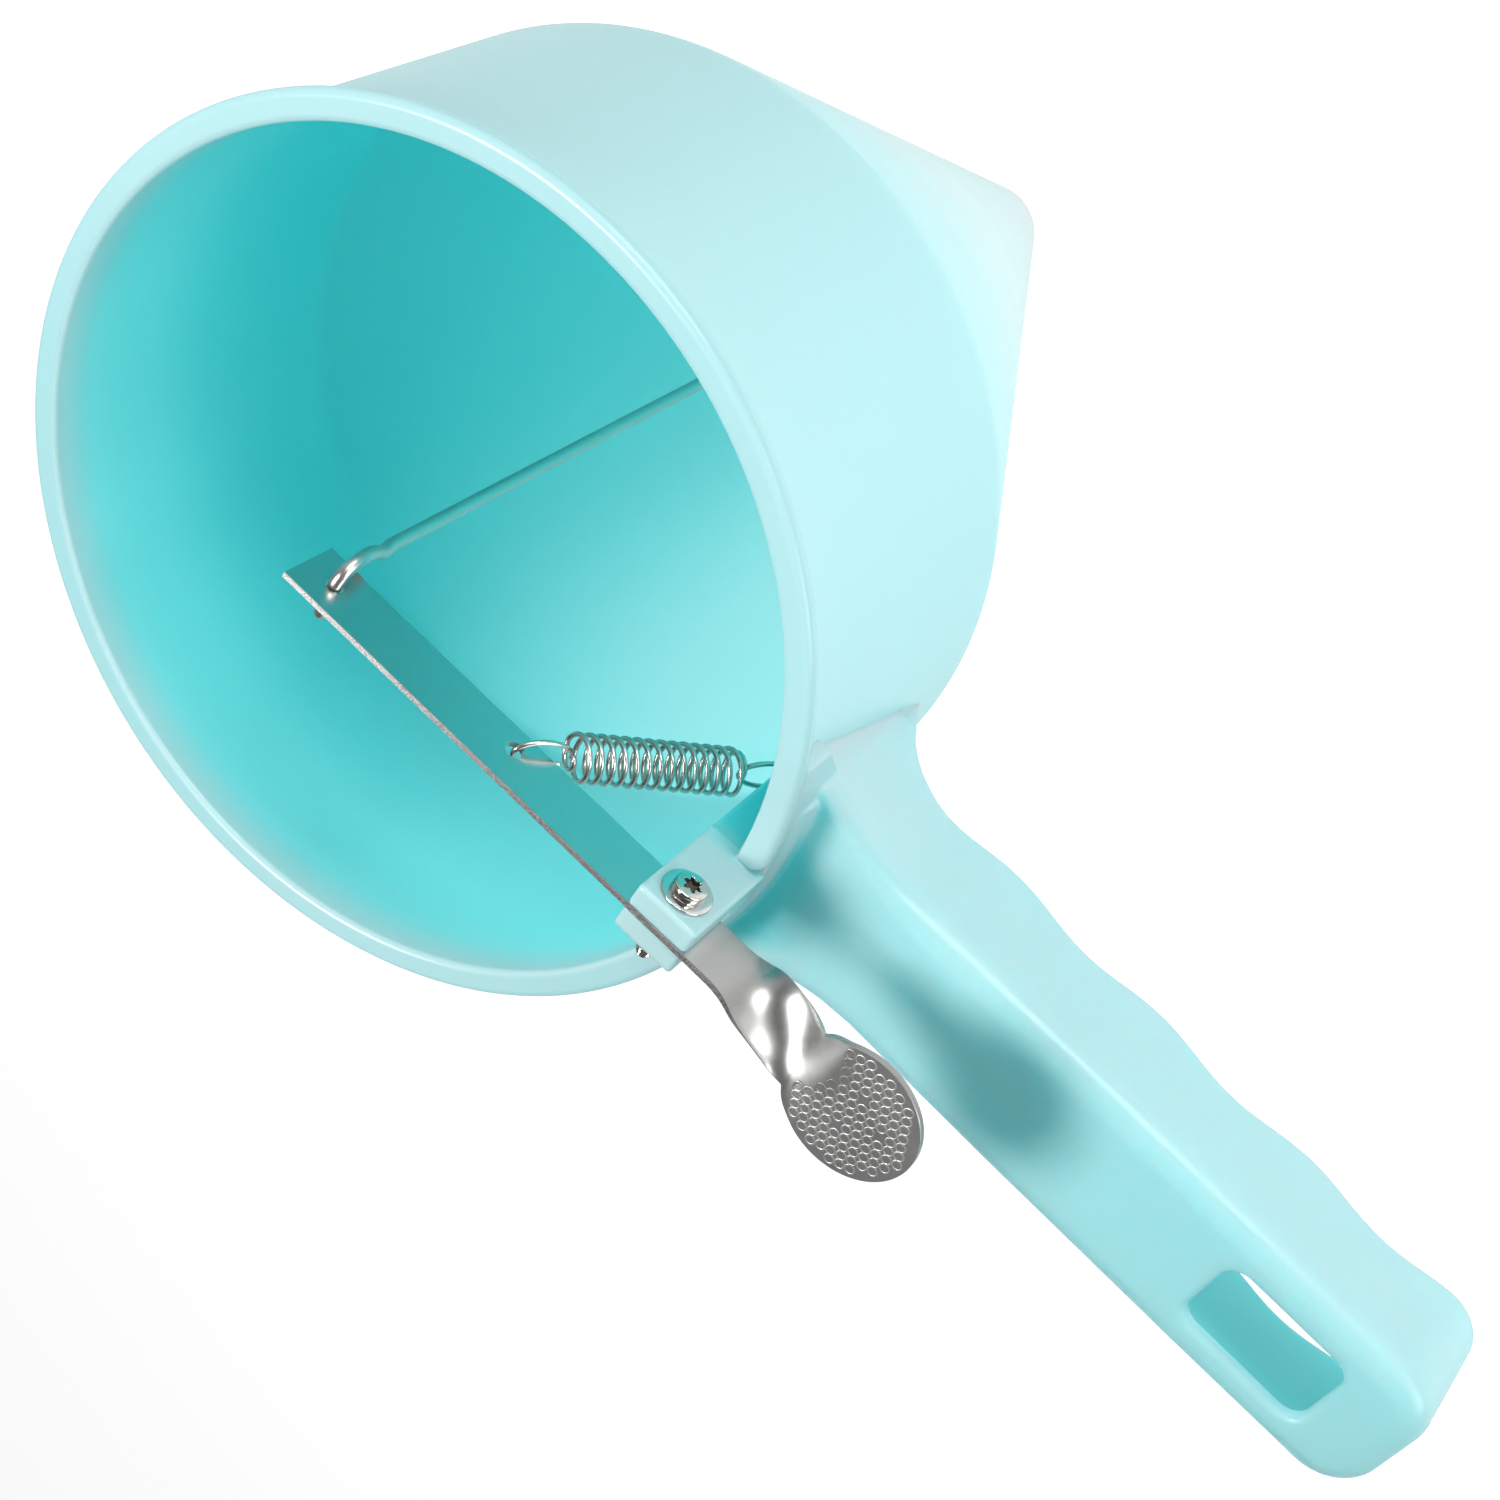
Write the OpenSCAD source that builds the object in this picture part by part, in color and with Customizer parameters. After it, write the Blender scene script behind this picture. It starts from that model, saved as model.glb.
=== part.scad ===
// Hand-held batter dispenser: a lipped hopper with a valve at its tip, worked by
// a thumb lever on the handle. Millimetres, +Z up, handle along +X, outlet end at z = 0.

/* [Hopper] */
// height of the lip above the outlet end
hopper_h = 191; // [170:1:210]
// height of the straight barrel below the lip
barrel_h = 60; // [50:1:70]
// outer radius of the barrel at the top
barrel_r_top = 63; // [61:0.1:65]
// outer radius of the barrel where the cone starts
barrel_r_low = 62.6; // [60:0.1:64]
// wall of the barrel and the cone
wall_t = 2; // [1.6:0.1:2.6]
// how far the lip stands out of the barrel
lip_out = 2.3; // [1.5:0.1:3]
// height of the lip
lip_h = 2.6; // [2:0.1:4]
// half width of the lip's gap at the lever
lip_gap = 5.2; // [5:0.1:8]

/* [Outlet] */
// outer radius of the tip
tip_r = 8.3; // [8:0.1:10]
// radius of the outlet
outlet_r = 5.5; // [4.5:0.1:6]
// length of the outlet below the valve seat
outlet_l = 5; // [4:0.5:8]

/* [Handle] */
// distance from the hopper axis to the end of the handle
handle_x = 175.5; // [160:0.1:190]
// half width at the root
handle_w_root = 12; // [11:0.1:14]
// half width at the middle
handle_w_mid = 12.6; // [11:0.1:15]
// half width at the end
handle_w_end = 12.2; // [10:0.1:14]
// drop of the top face below the lip, at the root
handle_drop = 7.7; // [6:0.1:10]
// rise of the top face towards the end, in degrees
handle_rise = 2.1; // [0:0.1:4]
// roundover of the top edges
handle_round = 4; // [3:0.5:5]
// depth of the root below the lip
handle_h_root = 43.5; // [40:0.5:48]
// depth of the finger bumps below the lip, at the end
handle_h_end = 23.9; // [22:0.1:28]
// wall of the handle
handle_t = 2.4; // [2:0.1:3]
// corner radius of the end, seen from above
handle_corner = 8; // [6:0.5:10]
// distance between finger bumps
finger_pitch = 26.7; // [22:0.1:28]
// depth of the hollows between them
finger_depth = 1.9; // [0.5:0.1:3]

/* [Hanging slot] */
// centre of the slot from the end of the handle
slot_in = 21.8; // [18:0.1:30]
// length
slot_l = 20.2; // [15:0.1:24]
// width
slot_w = 12.8; // [8:0.1:14]
// corner radius
slot_r = 3; // [1:0.5:5]

/* [Lever] */
// pivot distance inside the barrel's outer wall
pivot_in = 2.7; // [2:0.1:4]
// pivot height above the lip
pivot_up = 10.9; // [10:0.1:13]
// width of the strip
lever_w = 9.6; // [8:0.1:10]
// thickness of the strip
lever_t = 1; // [0.8:0.1:1.2]
// rod hole distance past the hopper axis
rod_past = 2.5; // [1.5:0.1:3.5]
// length of the strip past the rod hole
lever_end = 5.2; // [4:0.1:8]
// length of the flat strip on the handle side
lever_out = 12; // [10:0.5:14]
// length of the twist
twist_l = 13.9; // [12:0.1:18]
// rise of the thumb pad above the strip's centre line
pad_up = 3.4; // [0:0.1:4]
// radius of the thumb pad
pad_r = 10.1; // [8:0.1:11]
// tilt of the lever at rest, in degrees
lever_tilt = 1.3; // [0:0.1:2]
// spring hole distance from the pivot
spring_hole_l = 30; // [26:0.5:34]
// spring hole radius
spring_hole_r = 1.2; // [1:0.1:1.5]

/* [Bracket] */
// half width of the bracket
bracket_w = 4.2; // [3.6:0.1:4.6]
// clearance beside the strip, each side
slot_gap = 0.3; // [0.2:0.05:0.5]
// reach of the bracket in from the barrel's outer wall
bracket_t = 7.5; // [6:0.1:9]
// reach of the lugs out past the barrel's outer wall
lug_out = 2.4; // [1.5:0.1:4]
// depth of the bracket down the inner wall
bracket_down = 24; // [18:1:30]
// top of the lugs above the lip
lug_up = 15.3; // [15:0.1:17]

/* [Screw] */
// shank radius
screw_r = 1.5; // [1.5:0.05:1.6]
// head radius
head_r = 2.5; // [2.2:0.1:3]
// head height
head_h = 1.9; // [1.4:0.1:2.4]
// how far the tip stands out of the far lug
screw_out = 5.1; // [2:0.1:7]
// washer radius
washer_r = 3.45; // [3:0.05:3.6]
// washer thickness
washer_t = 0.5; // [0.3:0.1:0.8]

/* [Valve] */
// rod radius
rod_r = 1; // [0.8:0.05:1.1]
// radial clearance of the rod, and of the screw, in the lever
rod_fit = 0.08; // [0.03:0.01:0.1]
// height of the crank below the rod hole
crank_h = 14; // [12:0.5:18]
// how far the crank stands off the strip's middle
crank_off = 3.1; // [2.8:0.1:4]
// widest radius of the plug
plug_r = 7.9; // [7:0.1:8.2]
// height of the plug
plug_h = 12; // [10:0.5:16]

/* [Spring] */
// mean radius of the coils
coil_r = 3.2; // [2.6:0.1:3.6]
// wire radius
spring_wire_r = 0.3; // [0.25:0.05:0.4]
// number of coils
coils = 14; // [10:1:18]
// length of the loop at the lever
loop_a = 8.6; // [7:0.1:10]
// length of the loop at the bracket
loop_b = 9.6; // [7:0.1:11]

/* [Hidden] */
$fn = 96;
lip_z = hopper_h;
barrel_z = hopper_h - barrel_h;
split_z = barrel_z - 3;
slope = (barrel_r_low - tip_r) / barrel_z;
pivot_x = barrel_r_top - pivot_in;
pivot_z = lip_z + pivot_up;
bracket_in = barrel_r_top - bracket_t;
bracket_out = barrel_r_top + lug_out;
rod_hole_l = pivot_x + rod_past;
screw_l = 2 * bracket_w + washer_t + screw_out;
handle_base = barrel_r_top + 9;
top_z = lip_z - handle_drop;
slot_x = handle_x - slot_in;
finger_last = handle_x - 5.3;
finger_bow = 0.00057;
seat_gap = 0.4;

// which sub-part to build

function cone_r(z) = tip_r + slope * z;
function wall_r(z) = barrel_r_low + (barrel_r_top - barrel_r_low) * (z - barrel_z) / barrel_h;
function unit(v) = v / norm(v);
function lever_pt(l, up) = [pivot_x - l * cos(lever_tilt) - up * sin(lever_tilt), 0,
                            pivot_z - l * sin(lever_tilt) + up * cos(lever_tilt)];
function finger_z(x) = let (d = max(finger_last - x, 0))
    lip_z - handle_h_end - finger_bow * d * d - finger_depth / 2 * cos(360 * d / finger_pitch);
function barrel_bore() = [
    [barrel_r_top - wall_t + 1.3, lip_z],
    [barrel_r_top - wall_t + 0.4, lip_z - 0.4],
    [barrel_r_top - wall_t, lip_z - 1.4],
    [barrel_r_low - wall_t, barrel_z + 1],
    [cone_r(split_z) - wall_t, split_z]
];

rod_hole = lever_pt(rod_hole_l, 0);
rod_foot = [0, 0, outlet_l + 2.5];
rod_knee = rod_hole + [-0.1 * crank_h, 0, -crank_h];
spring_a = lever_pt(spring_hole_l, -1.1);
eyelet_z = lip_z - bracket_down - 2.5;
spring_b = [wall_r(eyelet_z) - wall_t - 3.4, 0, eyelet_z];

// Barrel with its rounded lip and the rounded shoulder above the cone
module hopper_barrel() {
    lip_r = barrel_r_top + lip_out;
    color("PaleTurquoise")
    difference() {
        rotate_extrude()
            polygon(concat([
                [cone_r(split_z), split_z],
                [cone_r(split_z) + 0.47, split_z + 1.15],
                [barrel_r_low - 0.19, barrel_z + 0.04],
                [barrel_r_low, barrel_z + 2],
                [barrel_r_top, lip_z - lip_h],
                [lip_r - 1.1, lip_z - lip_h],
                [lip_r - 0.4, lip_z - lip_h + 0.6],
                [lip_r, lip_z - 1.1],
                [lip_r - 0.1, lip_z - 0.4],
                [lip_r - 0.6, lip_z]
            ], barrel_bore()));
        // gap in the lip at the lever
        translate([barrel_r_top, -lip_gap, lip_z - lip_h - 1])
            cube([lip_out + 8, 2 * lip_gap, lip_h + 2]);
    }
}

// Cone with the valve seat and the outlet at its tip
module hopper_cone() {
    seat_r = outlet_r + 3;
    seat_z = outlet_l + 3;
    join_z = seat_z + 3.2;
    color("PaleTurquoise")
    rotate_extrude()
        polygon([
            [outlet_r, 0],
            [tip_r - 1.4, 0],
            [tip_r - 0.4, 0.4],
            [cone_r(1.4), 1.4],
            [cone_r(split_z), split_z],
            [cone_r(split_z) - wall_t, split_z],
            [cone_r(join_z) - wall_t, join_z],
            [seat_r, seat_z],
            [outlet_r, outlet_l]
        ]);
}

// Outline of the handle seen from above
module handle_plan(inset) {
    end = handle_x - inset;
    r = max(handle_corner - inset, 1);
    w_end = handle_w_end - inset;
    side = [
        [barrel_r_top - 12, handle_w_root - inset],
        [handle_base, handle_w_root - inset],
        [handle_x - 63.6, handle_w_mid - inset],
        [handle_x - 29.6, handle_w_mid - 0.1 - inset]
    ];
    corner = [for (a = [90:-10:0]) [end - r + r * cos(a), w_end - r + r * sin(a)]];
    half = concat(side, corner);
    n = len(half);
    polygon(concat(half, [for (i = [n - 1:-1:0]) [half[i][0], -half[i][1]]]));
}

// Body under the rounded top edges, open downwards
module handle_body(inset) {
    r = max(handle_round - inset, 1);
    translate([handle_base, 0, top_z - inset])
    rotate([0, -handle_rise, 0])
    translate([-handle_base, 0, 0])
    hull() {
        for (a = [0:22.5:90])
            translate([0, 0, r * sin(a) - r - 0.02])
                linear_extrude(0.02)
                    handle_plan(inset + r - r * cos(a));
        translate([0, 0, -1.5 * handle_h_root])
            linear_extrude(1)
                handle_plan(inset);
    }
}

// Side profile with the finger bumps along the lower edge
module handle_side() {
    low = lip_z - handle_h_root;
    polygon(concat(
        [[barrel_r_top - 12, lip_z]],
        [[barrel_r_top - 12, low]],
        [[barrel_r_top + 1.2, low + 1]],
        [[barrel_r_top + 1.6, low + 3.5]],
        [[barrel_r_top + 2.1, low + 5.2]],
        [[barrel_r_top + 3, low + 7.2]],
        [[barrel_r_top + 4, low + 8.9]],
        [[barrel_r_top + 5.4, low + 10.7]],
        [[barrel_r_top + 7.2, low + 12.4]],
        [[barrel_r_top + 9.6, low + 14]],
        [for (x = [barrel_r_top + 13:2.5:handle_x]) [x, finger_z(x)]],
        [[handle_x + 1, finger_z(handle_x)]],
        [[handle_x + 1, lip_z]]
    ));
}

// Sweep of the top face up to the lip at the root
module handle_root() {
    rotate([90, 0, 0])
    linear_extrude(2 * handle_w_root - 0.6, center = true)
        polygon([
            [barrel_r_top - 12, lip_z - 14],
            [barrel_r_top - 12, lip_z - lip_h - 0.2],
            [barrel_r_top + 2, lip_z - lip_h - 0.2],
            [barrel_r_top + 3.2, lip_z - 4.4],
            [barrel_r_top + 5.6, lip_z - 5.9],
            [barrel_r_top + 8.6, lip_z - 7.1],
            [barrel_r_top + 13, lip_z - 7.9],
            [barrel_r_top + 13, lip_z - 14]
        ]);
}

// Web that spreads the side wall into the barrel
module gusset(side) {
    top = lip_z - lip_h - 0.3;
    low = lip_z - handle_h_root + 4;
    r = barrel_r_top;
    w = handle_w_root;
    hull() {
        translate([0, 0, top - 0.02])
            linear_extrude(0.02)
                polygon([[r - 7, side * (w - 1.5)], [r + 5, side * (w - 1.5)],
                         [r + 5, side * (w - 0.2)], [r - 4.4, side * (w + 11)],
                         [r - 7, side * (w + 11)]]);
        translate([0, 0, low])
            linear_extrude(0.02)
                polygon([[r - 3, side * (w - 1.5)], [r - 0.6, side * (w - 1.5)],
                         [r - 0.6, side * (w - 0.2)], [r - 3, side * (w + 0.4)]]);
    }
}

// Hollow handle, open underneath, with the hanging slot through its top
module handle() {
    color("PaleTurquoise")
    difference() {
        union() {
            intersection() {
                handle_body(0);
                rotate([90, 0, 0])
                    linear_extrude(5 * handle_w_mid, center = true)
                        handle_side();
            }
            handle_root();
            gusset(1);
            gusset(-1);
        }
        handle_body(handle_t);
        translate([slot_x, 0, top_z - 3 * handle_t])
        linear_extrude(2 * handle_drop + 4 * handle_t)
            union() {
                square([slot_l - 2 * slot_r, slot_w], center = true);
                square([slot_l, slot_w - 2 * slot_r], center = true);
                for (x = [-1, 1])
                    for (y = [-1, 1])
                        translate([x * (slot_l / 2 - slot_r), y * (slot_w / 2 - slot_r)])
                            circle(slot_r);
            }
        // the hopper's own room
        rotate_extrude()
            polygon([
                [0, split_z],
                [barrel_r_low, split_z],
                [barrel_r_low, barrel_z + 2],
                [barrel_r_top, lip_z - lip_h],
                [barrel_r_top + lip_out, lip_z - lip_h],
                [barrel_r_top + lip_out, lip_z + 1],
                [0, lip_z + 1]
            ]);
    }
}

// Two lugs on the lip and the block they grow from inside the barrel
module lever_bracket() {
    slot_w2 = lever_t + 2 * slot_gap;
    lug_h = lug_up + lip_h;
    far = barrel_r_top + bracket_t;
    color("PaleTurquoise")
    difference() {
        union() {
            translate([bracket_in, -bracket_w, lip_z - lip_h])
                cube([bracket_out - bracket_in, 2 * bracket_w, lug_h]);
            difference() {
                translate([bracket_in, -bracket_w, lip_z - bracket_down])
                    cube([bracket_t, 2 * bracket_w, bracket_down]);
                rotate_extrude()
                    polygon(concat(barrel_bore(), [[far, split_z], [far, lip_z]]));
            }
        }
        hopper_barrel();
        // room for the strip between the lugs
        translate([bracket_in - 1, -slot_w2 / 2, lip_z + 3])
            cube([bracket_t + lug_out + 2, slot_w2, lug_up]);
        // lead-in at the foot of the block
        translate([bracket_in, 0, lip_z - bracket_down])
        rotate([0, 45, 0])
            cube([4, 20, 4], center = true);
        // softened top edges of the lugs
        for (s = [-1, 1])
            translate([bracket_in - 1, s * bracket_w, lip_z + lug_up])
            rotate([45, 0, 0])
                cube([4 * bracket_t, 1.2, 1.2], center = true);
        translate([pivot_x, 0, pivot_z])
        rotate([90, 0, 0])
            cylinder(h = 4 * bracket_w, r = screw_r, center = true);
        translate([pivot_x, 2 * bracket_w + lever_t / 2, pivot_z])
        rotate([90, 0, 0])
            cylinder(h = 2 * bracket_w, r = screw_r + 0.1);
    }
}

// Fin with a hole below the block, where the spring hooks on
module spring_eyelet() {
    far = barrel_r_top + bracket_t;
    color("PaleTurquoise")
    difference() {
        union() {
            translate([spring_b[0], 0, spring_b[2]])
            rotate([90, 0, 0])
                cylinder(h = 2, r = 3, center = true);
            translate([spring_b[0], -1, spring_b[2] - 3])
                cube([bracket_t, 2, 6]);
        }
        rotate_extrude()
            polygon(concat(barrel_bore(), [[far, split_z], [far, lip_z]]));
        lever_bracket();
        translate([spring_b[0], 0, spring_b[2]])
        rotate([90, 0, 0])
            cylinder(h = 6, r = 1.4, center = true);
    }
}

// Pan-head screw that the lever turns on
module pivot_screw() {
    color("Silver")
    translate([pivot_x, bracket_w + washer_t, pivot_z])
    rotate([-90, 0, 0])
    difference() {
        union() {
            rotate_extrude()
                polygon([
                    [0, -1],
                    [screw_r, -1],
                    [screw_r, 0],
                    [head_r, 0],
                    [head_r, head_h * 0.6],
                    [head_r - 0.3, head_h * 0.85],
                    [head_r - 0.9, head_h],
                    [0, head_h]
                ]);
            translate([0, 0, 2 - screw_l])
                cylinder(h = screw_l - 2, r = screw_r);
            translate([0, 0, -screw_l])
                cylinder(h = 2, r1 = 0.7, r2 = screw_r);
        }
        translate([0, 0, head_h - 1.1])
        linear_extrude(2)
            polygon([for (i = [0:11]) (i % 2 == 0 ? 1.35 : 0.75) * [cos(30 * i), sin(30 * i)]]);
    }
}

// Flat washer under the head
module pivot_washer() {
    color("Gainsboro")
    translate([pivot_x, bracket_w + washer_t, pivot_z])
    rotate([90, 0, 0])
    difference() {
        cylinder(h = washer_t, r = washer_r);
        translate([0, 0, -1])
            cylinder(h = washer_t + 2, r = screw_r + 0.1);
    }
}

// Neck of the lever: the strip turns from upright to level and rises to the pad
module lever_twist() {
    n = 12;
    h = lever_w / 2;
    k = lever_t / 2;
    corners = [for (i = [0:n]) let (
        u = i / n,
        e = u * u * (3 - 2 * u),
        a = 90 * e,
        c = [lever_out + twist_l * u, 0, pad_up * e],
        w = [0, -sin(a), cos(a)],
        t = [0, cos(a), sin(a)]
    ) each [c - h * w - k * t, c + h * w - k * t, c + h * w + k * t, c - h * w + k * t]];
    sides = [for (i = [0:n - 1], j = [0:3]) let (
        p = 4 * i + j,
        q = 4 * i + (j + 1) % 4
    ) each [[p, q, q + 4], [p, q + 4, p + 4]]];
    polyhedron(corners, concat([[3, 2, 1, 0]], sides,
                               [[4 * n, 4 * n + 1, 4 * n + 2, 4 * n + 3]]));
}

// Stamped lever: upright strip, twisted neck and round thumb pad
module lever() {
    h = lever_w / 2;
    pad_l = lever_out + twist_l + sqrt(pad_r * pad_r - h * h) - 0.3;
    color("Silver")
    translate([pivot_x, 0, pivot_z])
    rotate([0, -lever_tilt, 0]) {
        rotate([90, 0, 0])
        linear_extrude(lever_t, center = true)
            difference() {
                polygon([
                    [-rod_hole_l - lever_end, h],
                    [-rod_hole_l - lever_end, -h - 0.2],
                    [2 - rod_hole_l, -h - 0.2],
                    [2.3 - rod_hole_l, -h],
                    [lever_out, -h],
                    [lever_out, h]
                ]);
                circle(screw_r + rod_fit);
                translate([-rod_hole_l, 0])
                    circle(rod_r + rod_fit);
                translate([-spring_hole_l, -1.1])
                    circle(spring_hole_r);
            }
        lever_twist();
        translate([0, 0, pad_up - lever_t / 2])
        linear_extrude(lever_t)
            union() {
                translate([pad_l, 0])
                    circle(pad_r);
                translate([lever_out + twist_l, -h])
                    square([3, lever_w]);
            }
    }
}

// Round wire swept along a list of points
module wire(pts, r, sides) {
    n = len(pts);
    dirs = [for (i = [0:n - 1]) unit(pts[min(i + 1, n - 1)] - pts[max(i - 1, 0)])];
    first = unit(cross(dirs[0], [0.3, 1, 0.2]));
    across = [for (i = 0, w = first; i < n;
        i = i + 1, w = i < n ? unit(w - (w * dirs[i]) * dirs[i]) : w) w];
    ring = [for (i = [0:n - 1], j = [0:sides - 1]) let (
        a = 360 * j / sides,
        w = across[i]
    ) pts[i] + r * (cos(a) * w + sin(a) * cross(dirs[i], w))];
    skin = [for (i = [0:n - 2], j = [0:sides - 1]) let (
        p = sides * i + j,
        q = sides * i + (j + 1) % sides
    ) each [[p, q + sides, q], [p, p + sides, q + sides]]];
    polyhedron(ring, concat(
        [[for (j = [0:sides - 1]) j]],
        skin,
        [[for (j = [sides - 1:-1:0]) sides * (n - 1) + j]]
    ));
}

// Wire rod from the plug up to the lever, cranked and hooked through its hole
module valve_rod() {
    bend = 2.3;
    crank = [for (i = [0:10]) let (u = i / 10, e = u * u * (3 - 2 * u))
        rod_knee + [0.1 * crank_h * u, crank_off * e, (crank_h - 5) * u]];
    hook = [for (a = [0:15:90])
        rod_hole + [0, crank_off - bend + bend * cos(a), -bend + bend * sin(a)]];
    color("Silver")
    wire(concat([rod_foot], crank, hook, [rod_hole + [0, -crank_off - 0.3, 0]]), rod_r, 24);
}

// Conical plug that rests on the seat
module valve_plug() {
    nose_r = outlet_r;
    nose_z = outlet_l + seat_gap;
    top_r = 3;
    color("WhiteSmoke")
    difference() {
        rotate_extrude()
            polygon([
                [0, nose_z],
                [nose_r, nose_z],
                [plug_r, nose_z + plug_r - nose_r],
                [plug_r, nose_z + plug_r - nose_r + 1.5],
                [plug_r - 1.6, nose_z + plug_r - nose_r + 3.4],
                [top_r, nose_z + plug_h - 1],
                [top_r - 0.6, nose_z + plug_h],
                [0, nose_z + plug_h]
            ]);
        lean = rod_knee - rod_foot;
        translate(rod_foot)
        rotate([0, atan2(lean[0], lean[2]), 0])
            cylinder(h = plug_h + 5, r = rod_r);
    }
}

// Return spring as one swept wire: loop, coils, loop
function spring_path() = let (
    len_ab = norm(spring_b - spring_a),
    c0 = loop_a,
    c1 = len_ab - loop_b,
    body = c1 - c0,
    ha = loop_a / 2,
    hb = loop_b / 2,
    lead = 8
) concat(
    [for (t = [-140:14:168]) [ha - ha * cos(t), 0, 2.5 * sin(t)]],
    [for (k = [0:lead - 1]) let (f = k / lead, a = 270 * f)
        [c0 + 0.5 * f, coil_r * f * sin(a), coil_r * f * cos(a)]],
    [for (k = [0:coils * 14]) let (f = k / (coils * 14), a = 270 + 360 * coils * f)
        [c0 + 0.5 + (body - 1) * f, coil_r * sin(a), coil_r * cos(a)]],
    [for (k = [lead - 1:-1:0]) let (f = k / lead, a = 270 + 270 * (1 - f))
        [c1 - 0.5 * f, coil_r * f * sin(a), coil_r * f * cos(a)]],
    [for (t = [168:-14:-140]) [len_ab - hb + hb * cos(t), 0, 2.5 * sin(t)]]
);

module return_spring() {
    u = unit(spring_b - spring_a);
    v = [-u[2], 0, u[0]];
    color("DarkGray")
    wire([for (p = spring_path()) spring_a + u * p[0] + v * p[1] + [0, p[2], 0]],
         spring_wire_r, 6);
}

hopper_barrel();
hopper_cone();
handle();
lever_bracket();
spring_eyelet();
pivot_screw();
pivot_washer();
lever();
valve_rod();
valve_plug();
return_spring();
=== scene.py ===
import math

import bpy
import numpy as np
from mathutils import Matrix, Vector


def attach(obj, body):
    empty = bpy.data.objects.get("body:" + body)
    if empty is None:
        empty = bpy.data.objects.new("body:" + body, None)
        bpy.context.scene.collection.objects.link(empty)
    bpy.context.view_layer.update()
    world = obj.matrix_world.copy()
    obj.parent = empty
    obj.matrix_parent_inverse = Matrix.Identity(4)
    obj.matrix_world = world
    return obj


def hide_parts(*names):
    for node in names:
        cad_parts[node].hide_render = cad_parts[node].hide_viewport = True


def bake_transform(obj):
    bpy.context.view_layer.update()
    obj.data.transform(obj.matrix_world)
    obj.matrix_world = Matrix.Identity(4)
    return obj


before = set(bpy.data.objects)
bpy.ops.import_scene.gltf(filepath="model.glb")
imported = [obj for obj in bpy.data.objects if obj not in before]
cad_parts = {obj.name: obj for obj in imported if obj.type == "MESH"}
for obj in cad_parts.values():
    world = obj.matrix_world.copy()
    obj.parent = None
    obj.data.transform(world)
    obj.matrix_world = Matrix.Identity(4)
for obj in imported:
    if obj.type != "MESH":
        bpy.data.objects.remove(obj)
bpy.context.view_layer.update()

# ---------------------------------------------------------------- sizes, mm
# These are the CAD's own, apart from a few that follow the photo more closely: the bead's gap,
# the slit, the holes in the lever and the washer.
LIP_Z = 191.0  # mouth of the hopper
BARREL_Z = 131.0  # where the cone ends and the barrel begins
R_TOP = 63.0
R_LOW = 62.6
WALL = 2.0
TIP_R = 8.3
OUTLET_R = 5.5
OUTLET_L = 5.0
SEAT_R, SEAT_Z = 8.5, 8.0
SLOPE = (R_LOW - TIP_R) / BARREL_Z
BEAD_OUT = 2.3  # how far the bead round the lip stands out
BEAD_H = 2.6
BEAD_R = R_TOP + BEAD_OUT
BEAD_LOW = LIP_Z - BEAD_H
BEAD_GAP = 4.4  # half the gap in the bead at the lugs

HANDLE_END = 175.5
HANDLE_HALF_L = 70.0
HANDLE_HALF = 12.2  # half its width
HANDLE_CORNER = 8.0
HANDLE_WALL = 2.4
HANDLE_LEAN = math.radians(2.1)
TOP_X, TOP_Z = 72.0, 183.3  # a point on the handle's top face
ROOT_X = 76.5  # where the finger grips end and the root begins
ROOT_FLARE = 4.3  # how much wider each side is at the root
FLARE_LOW, FLARE_HIGH = 149.5, 178.0
DRAFT_FROM = 153.3  # below it the root is drawn in again
FACE_HALF, BAND_HALF = 14.0, 22.0  # half widths of the root's face and band on the barrel
FACE_LOW, BAND_LOW, WEB_LOW = 181.0, 178.0, 142.9
GRIP_PITCH = 26.7
GRIP_DEPTH = 0.95
SLOT_X = 153.7
SLOT_HALF_L, SLOT_HALF_W, SLOT_CORNER = 10.1, 6.4, 3.0

PIVOT = np.array([60.3, 0.0, 201.9])
LUG_HALF = 4.2  # half the width across both lugs
LUG_LOW = np.array([55.5, -LUG_HALF, BEAD_LOW])
LUG_HIGH = np.array([65.4, LUG_HALF, 206.55])
BLOCK_LOW = np.array([55.5, -LUG_HALF, 167.0])
BLOCK_HIGH = np.array([63.5, LUG_HALF, 189.5])
GAP_HALF, GAP_LOW = 0.53, 194.0  # the slit that the lever runs in
EYE = np.array([57.4, 0.0, 164.5])
EYE_R, EYE_HOLE, EYE_HALF, EYE_TO_X = 3.0, 1.4, 1.0, 62.5

TILT = math.radians(1.3)  # of the lever at rest
STRIP_HALF = 4.8
STRIP_T = 0.5  # half the strip's thickness
TAIL_L = 68.0
ROD_L = 62.8  # pivot to the rod's hole
SPRING_L = 30.0  # pivot to the spring's hole
SPRING_HOLE_W = -1.1  # how far that hole is off the middle of the strip
ROD_HOLE_R, SPRING_HOLE_R, PIVOT_HOLE_R = 1.3, 1.4, 1.7
PAD_L, PAD_R = 34.3, 10.1
TWIST_FROM, TWIST_TO = 12.0, 27.0
EDGE_TO = 24.0  # where the torn look of the upper edge ends
ROD_R, SPRING_WIRE_R = 1.0, 0.38
WASHER_R, WASHER_HOLE, WASHER_T = 3.7, 1.6, 0.5


# ---------------------------------------------------------------- mesh helpers
def ramp(value, a, b):
    """0 at a, 1 at b, straight between them and level outside."""
    return np.clip((value - a) / (b - a), 0, 1)


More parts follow.
